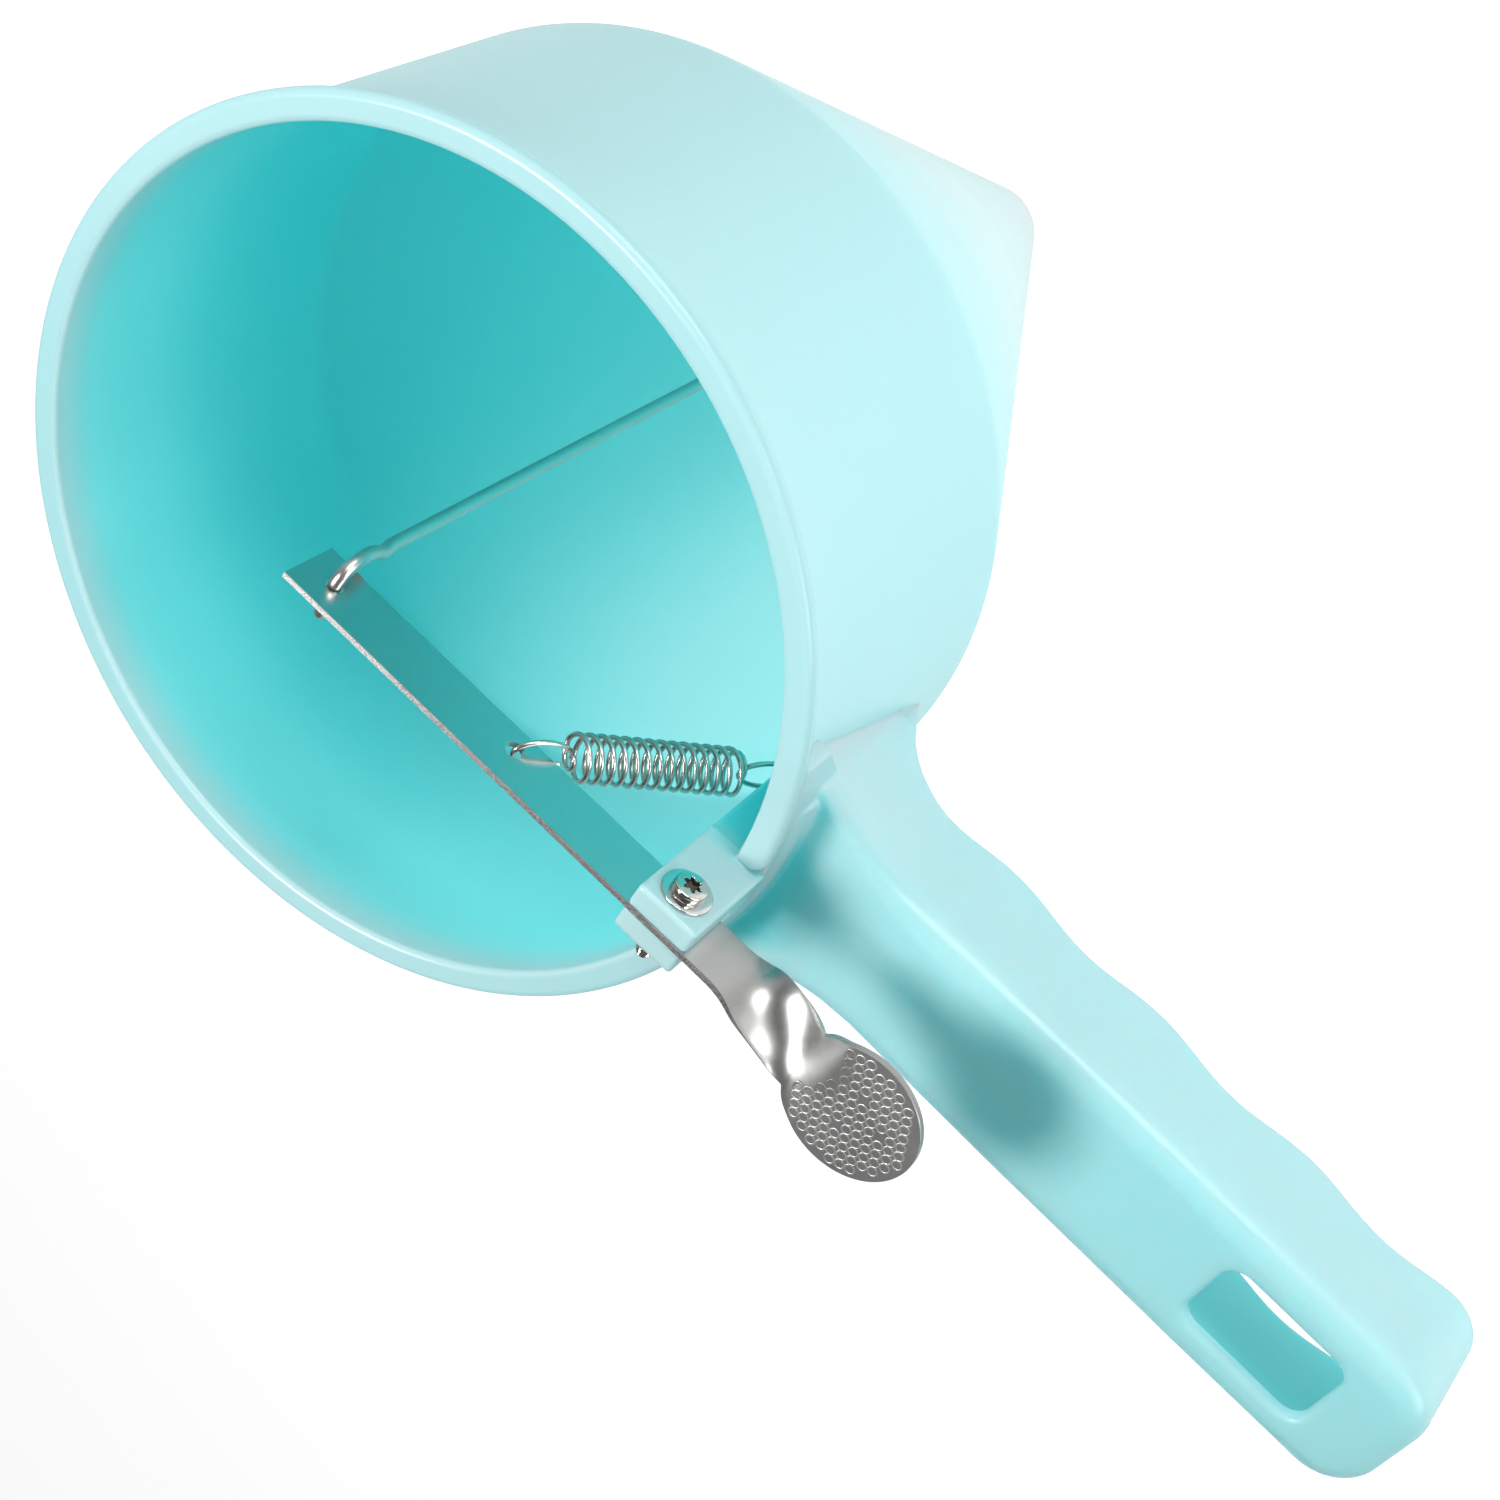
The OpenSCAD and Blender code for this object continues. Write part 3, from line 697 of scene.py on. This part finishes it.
def paint_handle(obj, verts):
    x, y, z = verts.T
    # painted shade in the handle's hollow underside
    inner = np.maximum(*handle_field(verts, HANDLE_WALL / 2))
    paint(obj, "inside_shade", np.clip(-inner * 0.8, 0, 1))
    # painted shade: the top face is a little deeper teal, most of all under the rim, where a painted shadow
    # of the lugs and bead lies near the root
    top = 0.25 * ramp(handle_local(verts)[2], -3.0, -0.5) * ramp(np.hypot(x, y), 65.6, 66.6)
    side = np.abs(y + 3.0) / np.interp(x, [64, 74], [14.0, 8.0])
    painted_shadow = ramp(x, 77.0, 68.0) * ramp(side, 1.15, 0.65) * ramp(z, LIP_Z - 5.5, LIP_Z - 7.5)
    painted_shadow *= z > LIP_Z - 13
    paint(obj, "painted_light_shade", np.where(inner < 0, 0, np.maximum(0.8 * painted_shadow, top)))


def build_handle():
    verts, faces = mesh_of(handle_union, (57.0, -25.0, 140.5), (177.2, 25.0, 190.2), 0.39)
    on = (handle_sdf(verts) < 0.3) & (verts[:, 2] < LIP_Z - 1.2) & (verts[:, 2] > WEB_LOW - 1.4)
    verts, faces = keep_points(verts, faces, on)
    obj = make("handle_shell", verts, faces, [handle_mat])
    paint_handle(obj, verts)
    return obj


# ---------------------------------------------------------------- lugs, block and eyelet
def bracket_sdf(p):
    """Two lugs with a slit for the lever, on a block inside the barrel with an eyelet at its foot."""
    x, y, z = p[..., 0], p[..., 1], p[..., 2]
    lug = rounded_box(p, LUG_LOW, LUG_HIGH, 0.6)
    block = rounded_box(p, BLOCK_LOW, BLOCK_HIGH, 0.8)
    foot = (x - BLOCK_LOW[0] + z - BLOCK_LOW[2]) * 0.7071
    block = meet(block, 2.8 - foot, 0.6)
    slit = np.maximum(np.abs(y) - GAP_HALF, GAP_LOW - z)
    body = cut(join(lug, block, 0.5), slit, 0.12)
    plate = np.maximum(np.hypot(np.maximum(EYE[0] - x, 0), z - EYE[2]) - EYE_R, x - EYE_TO_X)
    eyelet = meet(plate, np.abs(y) - EYE_HALF, 0.3)
    eyelet = cut(eyelet, np.hypot(x - EYE[0], z - EYE[2]) - EYE_HOLE, 0.25)
    return join(body, eyelet, 0.5)


def wall_field(p, grow=0.0):
    """Wall of the barrel without the bead, solid between its two radii."""
    r, z = np.hypot(p[..., 0], p[..., 1]), p[..., 2]
    mid = np.interp(z, [BARREL_Z, LIP_Z], [R_LOW, R_TOP]) - WALL / 2
    return meet(np.abs(r - mid) - WALL / 2, z - (LIP_Z - 0.45), 0.5) - grow


def bracket_union(p):
    return join(bracket_sdf(p), wall_field(p, 0.02), 0.5)


def build_bracket():
    verts, faces = mesh_of(bracket_union, (53.5, -7.0, 159.5), (67.0, 7.0, 207.3), 0.3)
    # keeps the bracket with its fillets, and nothing that would show outside the barrel
    r = np.hypot(verts[:, 0], verts[:, 1])
    on = (bracket_sdf(verts) < 0.75) & (r < 66.5) & ((r < 62.0) | (verts[:, 2] > 187.5))
    verts, faces = keep_points(verts, faces, on)
    obj = make("lever_bracket_shell", verts, faces, [bracket_mat])
    # painted shade on the block below the lip, inside the hopper
    paint(obj, "inside_shade", ramp(verts[:, 2], LIP_Z + 1.0, LIP_Z - 5.0))
    return obj


# ---------------------------------------------------------------- lever
def lever_frame(l, w, t):
    """Points of the flat strip's frame: l towards the handle, w up, t towards +Y, then the tilt."""
    c, s = math.cos(TILT), math.sin(TILT)
    return np.stack([PIVOT[0] + l * c - w * s, t, PIVOT[2] + l * s + w * c], -1)


def lever_section(l):
    """Centre, width direction, thickness direction, half widths and dish of the lever at length l."""
    near = np.linspace(-2, 2, 9) + l
    turn = np.interp(near, [12, 14, 17, 20, 23, 25, 27], [0, 12, 38, 49, 58, 73, 90]).mean()
    lift = np.interp(near, [12, 15, 17, 20, 23, 25, 27, 28], [0, 0.2, 0.5, 0.95, 1.45, 2.3, 3.2, 3.4]).mean()
    a = math.radians(turn)
    low = up = STRIP_HALF
    if l < 2.4 - ROD_L:
        # a little wider below, round the rod's hole
        low = STRIP_HALF + 0.2 * (1 - ramp(l, 2.0 - ROD_L, 2.4 - ROD_L))
    if l > 24.5:
        disc = math.sqrt(max(PAD_R ** 2 - (l - PAD_L) ** 2, 0.0))
        low = up = max(STRIP_HALF, disc) if l < PAD_L else disc
    across = np.array([0, -math.sin(a), math.cos(a)])
    through = np.array([0, math.cos(a), math.sin(a)])
    dish = 1.2 * math.sin(math.pi * ramp(l, 14.0, 28.0)) ** 2
    return np.array([l, 0.0, lift]), across, through, low, up, dish


def lever_lengths():
    """Where the lever's sections are: close together in the twist and at the pad's round end."""
    end = np.sin(np.linspace(math.asin((PAD_R - 1.4) / PAD_R), math.pi / 2, 12)[:-1])
    return np.concatenate([
        [-TAIL_L], np.arange(0.4 - TAIL_L, TWIST_FROM, 0.8), np.arange(TWIST_FROM, TWIST_TO, 0.25),
        np.arange(TWIST_TO, PAD_L + PAD_R - 1.5, 0.3), PAD_L + PAD_R * end, [PAD_L + PAD_R * 0.9997],
    ])


def build_lever():
    w = np.linspace(-1, 1, 25)
    edge_steps = (1, 0.33, -0.33, -1)
    rows, marks = [], []
    for l in lever_lengths():
        c, across, through, low, up, dish = lever_section(l)
        soft = min(0.12, min(low, up) * 0.4)
        wide = w * np.where(w > 0, up, low)
        bow = dish * (w ** 2 - 0.4)
        line = wide.copy()
        line[0] += soft
        line[-1] -= soft
        front = [c + across * x + through * (q + STRIP_T) for x, q in zip(line, bow)]
        back = [c + across * x + through * (q - STRIP_T) for x, q in zip(line, bow)]
        top, bottom = [[c + across * wide[k] + through * (bow[k] + t * (STRIP_T - soft)) for t in edge_steps]
                       for k in (-1, 0)]
        rows.append(front + top + back[::-1] + bottom[::-1])
        mark = np.zeros(len(rows[-1]))
        if l < EDGE_TO:
            mark[len(w):len(w) + len(edge_steps)] = 1
        marks.append(mark)
    n, m = len(rows), len(rows[0])
    points = np.array(rows).reshape(-1, 3)
    faces = [tuple(f) for f in grid_faces(n, m, wrap_m=True)[:, ::-1]]
    faces.append(tuple(reversed(range(m))))
    faces.append(tuple(range((n - 1) * m, n * m)))
    verts = lever_frame(points[:, 0], points[:, 2], points[:, 1])
    obj = make("lever_plate", verts, faces, [lever_mat], sharp=40)
    paint(obj, "edge", np.concatenate(marks))
    for at, r in ((ROD_HOLE, ROD_HOLE_R), (SPRING_A, SPRING_HOLE_R), (PIVOT, PIVOT_HOLE_R)):
        drill(obj, at, r)
    return obj


def drill(obj, at, radius, sides=40, reach=3.0):
    """Round hole across the plate, along Y."""
    a = circle(sides)
    ring = np.stack([at[0] + radius * np.cos(a), 0 * a, at[2] + radius * np.sin(a)], 1)
    verts = np.concatenate([ring - [0, reach, 0], ring + [0, reach, 0]])
    faces = [(k, k + sides, (k + 1) % sides + sides, (k + 1) % sides) for k in range(sides)]
    faces += [tuple(range(sides)), tuple(reversed(range(sides, 2 * sides)))]
    tool = make("drill", verts, faces)
    mod = obj.modifiers.new("hole", "BOOLEAN")
    mod.object, mod.operation, mod.solver = tool, "DIFFERENCE", "EXACT"
    graph = bpy.context.evaluated_depsgraph_get()
    mesh = bpy.data.meshes.new_from_object(obj.evaluated_get(graph))
    obj.modifiers.remove(mod)
    obj.data = mesh
    mesh.set_sharp_from_angle(angle=math.radians(35))
    bpy.data.objects.remove(tool)


def build_rings():
    """Ridged rings pressed up on the pad, in a turned square grid, worn away near the neck."""
    turn = math.radians(23)
    pitch_i, pitch_j, ring_r, sides = 1.54, 1.43, 0.69, 28
    # across the ridge: offset from the ring's radius, height, and the strength of the painted highlight on
    # the crest
    ridge = ((-0.21, -0.05, 0.1), (-0.11, 0.025, 0.3), (0.0, 0.045, 0.45),
             (0.11, 0.025, 0.3), (0.21, -0.05, 0.1))
    missing = ((1, -2), (3, 1), (-1, 2))
    a = circle(sides)
    face_z = lever_section(PAD_L)[0][2] + STRIP_T
    rows, faces, crest_highlight = [], [], []
    for i in range(-8, 9):
        for j in range(-8, 9):
            x = pitch_i * i * math.cos(turn) + pitch_j * j * math.sin(turn)
            y = pitch_i * i * math.sin(turn) - pitch_j * j * math.cos(turn)
            worn = ramp(math.hypot(x + 9.5, y - 3.0), 5.6, 8.1)
            if math.hypot(x, y) > PAD_R - 1.0 or (i, j) in missing or worn <= 0:
                continue
            start = len(rows) * sides
            faces += [tuple(start + f) for f in grid_faces(len(ridge), sides, True, True)[:, ::-1]]
            for off, height, painted_highlight in ridge:
                r = ring_r + off
                rows.append(np.stack([PAD_L + x + r * np.cos(a), y + r * np.sin(a),
                                      np.full(sides, face_z + height * worn)], 1))
                crest_highlight += [worn * painted_highlight] * sides
    points = np.concatenate(rows)
    verts = lever_frame(points[:, 0], points[:, 2], points[:, 1])
    obj = make("lever_grip_rings", verts, faces, [lever_mat])
    # painted highlight on the rings' crests
    paint(obj, "ring", crest_highlight)
    return obj


# ---------------------------------------------------------------- rod, plug, spring
ROD_HOLE = lever_frame(np.array(-ROD_L), np.array(0.0), np.array(0.0))
ROD_KNEE = ROD_HOLE + [-1.4, 0, -14]
ROD_FOOT = np.array([0.0, 0.0, 7.5])
SPRING_A = lever_frame(np.array(-SPRING_L), np.array(SPRING_HOLE_W), np.array(0.0))
SPRING_B = EYE


def build_rod():
    straight = [ROD_FOOT + (ROD_KNEE - ROD_FOOT) * t for t in np.linspace(0, 0.985, 40)]
    # from the knee: a cranked end, then the hook through the lever, as steps from the hole
    bend = ROD_HOLE + np.array([
        [-1.4, 0, -14], [-1.1, 0.15, -12.4], [-0.8, 0.9, -10.4], [-0.6, 2.2, -8.4], [-0.3, 3.3, -6.4],
        [-0.1, 3.9, -4.4], [0, 3.6, -2.3], [0, 2.6, -0.7], [0, 1.2, 0.0], [0, 0, 0.05], [0, -5.0, 0],
    ])
    path = np.concatenate([straight[:-1], smooth_path(bend, 0.35)])
    verts, faces = sweep(*round_ends(path, ROD_R, 5), sides=24)
    return make("valve_rod_wire", verts, faces, [rod_mat], sharp=60)


def build_plug():
    """Turned seal on the rod's foot. Its hole follows the rod's lean."""
    hole_r, low, high, wide, neck, sides = 0.9, 5.4, 17.4, 7.9, 2.4, 72
    profile = rounded([(hole_r, low, 0), (5.45, low, 0.5), (wide, 7.8, 0.6), (wide, 9.3, 0.7),
                       (6.3, 11.2, 1.0), (3.0, 16.4, 0.5), (neck, high, 0.5), (hole_r, high, 0)])
    x, y, z = turned(profile, sides)
    lean = (ROD_KNEE[0] - ROD_FOOT[0]) / (ROD_KNEE[2] - ROD_FOOT[2])
    shift = np.where(profile[:, 0] < 1.0, (profile[:, 1] - ROD_FOOT[2]) * lean, 0)
    verts = np.stack([x + shift, y, z], -1).reshape(-1, 3)
    return make("valve_plug_seal", verts, grid_faces(sides, len(profile), True, True), [plug_mat])


def build_spring():
    """Loop, lead, coils, lead and loop, first along a straight axis and then between the two holes."""
    length = float(np.linalg.norm(SPRING_B - SPRING_A))
    coil_from, coil_to = 8.6, length - 9.6
    loop_a, loop_b, loop_half = 4.3, 4.8, 2.5
    coils, steps, lead_steps, r = 14, 24, 8, 3.2

    def loop(at, reach, degrees):
        t = np.radians(degrees)
        return np.stack([at + reach * np.cos(t), 0 * t, loop_half * np.sin(t)], 1)

    def coil(along, radius, degrees):
        a = np.radians(degrees)
        return np.stack([along, radius * np.sin(a), radius * np.cos(a)], 1)

    lead = np.arange(lead_steps) / lead_steps
    run = np.arange(coils * steps + 1) / (coils * steps)
    back = lead[::-1]
    points = np.concatenate([
        loop(loop_a, -loop_a, np.arange(-140, 169, 14)),
        coil(coil_from + 0.5 * lead, r * lead, 270 * lead),
        coil(coil_from + 0.5 + (coil_to - coil_from - 1) * run, r, 270 + 360 * coils * run),
        coil(coil_to - 0.5 * back, r * back, 270 + 270 * (1 - back)),
        loop(length - loop_b, loop_b, np.arange(168, -141, -14)),
    ])
    u = (SPRING_B - SPRING_A) / length
    axes = np.array([u, [-u[2], 0, u[0]], [0, 1, 0]])
    path = smooth_path(SPRING_A + points @ axes, 0.45)
    verts, faces = sweep(*round_ends(path, SPRING_WIRE_R, 3), sides=10)
    return make("return_spring_wire", verts, faces, [spring_mat], sharp=70)


# ---------------------------------------------------------------- screw and washer
def build_screw():
    """Round-headed screw with a six-lobed recess, on a threaded shank."""
    n, recess_rows = 96, 4
    shank_r, length, thread_from, thread_step, thread_depth = 1.5, 14.0, 3.0, 0.55, 0.3
    point_l, point_cut, recess_r, head_top = 1.8, 0.35, 1.42, 1.42
    theta = circle(n)
    star = 0.78 + 0.62 * (0.5 + 0.5 * np.cos(6 * theta + 0.5)) ** 0.8
    one = np.ones(n)
    head = rounded([(1.2, head_top, 0), (2.38, 1.34, 0.3), (2.42, 0.0, 0.1), (shank_r, 0.0, 0)], 5)
    rows = [(0.02 * one, 0.55), (0.6 * star, 0.55), (0.93 * star, 0.62), (0.97 * star, 1.3),
            (1.04 * star, head_top)]
    rows += [(r * one, z) for r, z in split_long(head[1:], 0.3, closed=False) if r > recess_r]
    for z in np.arange(0.06, length - 0.45, 0.06):
        phase = (z / thread_step - theta / (2 * math.pi)) % 1.0
        thread = thread_depth * np.abs(2 * phase - 1) * (z > thread_from)
        taper = 1 - point_cut * ramp(z, length - point_l, length)
        rows.append(((shank_r - thread) * taper, -z))
    rows.append((0.45 * one, 0.02 - length))
    r = np.array([a for a, b in rows])
    y = LUG_HALF + WASHER_T + np.array([b * one for a, b in rows])
    verts = np.stack([PIVOT[0] + r * np.cos(theta), y, PIVOT[2] + r * np.sin(theta)], -1).reshape(-1, 3)
    faces = [tuple(f) for f in grid_faces(len(rows), n, wrap_m=True)[:, ::-1]]
    faces.append(tuple(range((len(rows) - 1) * n, len(rows) * n)))
    faces.append(tuple(reversed(range(n))))
    obj = make("pivot_screw_body", verts, faces, [screw_mat, recess_mat], sharp=35)
    for poly in obj.data.polygons:
        if max(poly.vertices) < recess_rows * n:
            poly.material_index = 1
    return obj


def build_washer():
    sides = 96
    profile = rounded([(WASHER_HOLE, 0, 0.08), (WASHER_R, 0, 0.12), (WASHER_R, WASHER_T, 0.16),
                       (WASHER_HOLE, WASHER_T, 0.1)], 4)
    x, z, y = turned(profile, sides)
    verts = np.stack([PIVOT[0] + x, LUG_HALF + y, PIVOT[2] + z], -1).reshape(-1, 3)
    faces = grid_faces(sides, len(profile), True, True)[:, ::-1]
    return make("pivot_washer_ring", verts, faces, [washer_mat], sharp=50)


# ---------------------------------------------------------------- assembly
def place(obj, body, slot, *nodes):
    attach(obj, body)
    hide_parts(*nodes)


place(build_hopper(), "dispenser", "hopper_barrel", "hopper_barrel", "hopper_cone")
place(build_handle(), "dispenser", "handle", "handle")
place(build_bracket(), "dispenser", "lever_bracket", "lever_bracket", "spring_eyelet")
place(build_screw(), "dispenser", "pivot_screw", "pivot_screw")
place(build_washer(), "dispenser", "pivot_washer", "pivot_washer")
place(build_lever(), "lever", "lever", "lever")
rings = build_rings()
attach(rings, "lever")
place(build_rod(), "valve", "valve_rod", "valve_rod")
place(build_plug(), "valve", "valve_plug", "valve_plug")
spring = build_spring()
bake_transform(spring)
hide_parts("return_spring")

# ---------------------------------------------------------------- stage, light, camera
CAMERA_AT = (0.0952, 0.2231, 0.4346)
CAMERA_ROWS = ((0.7323, -0.6687, 0.1286), (0.4571, 0.6227, 0.635), (-0.5047, -0.4063, 0.7617))
WHITE = rgb(1, 1, 1)


def build_stage():
    """White paper under the part, lit by itself so that it stays white."""
    s, z = 3000, -420
    floor = make("floor", [(-s, -s, z), (s, -s, z), (s, s, z), (-s, s, z)], [(0, 1, 2, 3)])
    n = new_material("paper")
    paper = n.principled(Base_Color=rgb(0.6, 0.6, 0.6), Roughness=0.9, Emission_Color=WHITE,
                         Emission_Strength=0.78)
    floor.data.materials.append(n.finish(paper.outputs[0]))


def area_light(name, at, to, size, power):
    data = bpy.data.lights.new(name, "AREA")
    data.shape = "RECTANGLE"
    data.size, data.size_y = size
    data.energy = power
    obj = bpy.data.objects.new(name, data)
    bpy.context.scene.collection.objects.link(obj)
    obj.location = at
    obj.rotation_euler = (Vector(to) - Vector(at)).to_track_quat("-Z", "Y").to_euler()


def build_light():
    world = bpy.data.worlds.new("studio")
    bpy.context.scene.world = world
    n = Nodes(world)
    view = n.add("ShaderNodeTexCoord").outputs["Generated"]
    # white near the horizon, dimmer overhead, and dimmer towards the far side as well
    height = n.span(n.xyz(view)[2], 0.05, 0.6, 0.92, 0.13)
    towards = n.vector("DOT_PRODUCT", {0: view, 1: (0.75, 0.66, 0.0)}, "Value")
    fade = n.span(towards, -1.0, 0.2, 0.3, 1.0, kind="LINEAR")
    back = n.tree.nodes["Background"]
    n.put(back, "Color", WHITE)
    n.put(back, "Strength", n.times(height, fade))
    area_light("top", (-0.23, -0.01, 0.72), (0.06, 0, 0.19), (0.2, 0.2), 5.2)
    area_light("front", (0.85, 0.35, 0.35), (0.08, 0, 0.16), (0.4, 0.4), 3.6)
    area_light("side", (0.02, 0.95, 0.42), (0.06, 0, 0.16), (0.5, 0.35), 4.8)
    area_light("glint", (0.61, 0.69, 0.45), (0.067, 0.015, 0.181), (0.15, 0.15), 1.0)


def build_camera():
    data = bpy.data.cameras.new("camera")
    data.sensor_width = 36.0
    data.lens = 60.0
    data.clip_start, data.clip_end = 0.01, 20.0
    cam = bpy.data.objects.new("camera", data)
    bpy.context.scene.collection.objects.link(cam)
    cam.matrix_world = Matrix.Translation(CAMERA_AT) @ Matrix(CAMERA_ROWS).to_4x4()
    bpy.context.scene.camera = cam


build_stage()
build_light()
build_camera()
bpy.context.scene.view_settings.view_transform = "Standard"
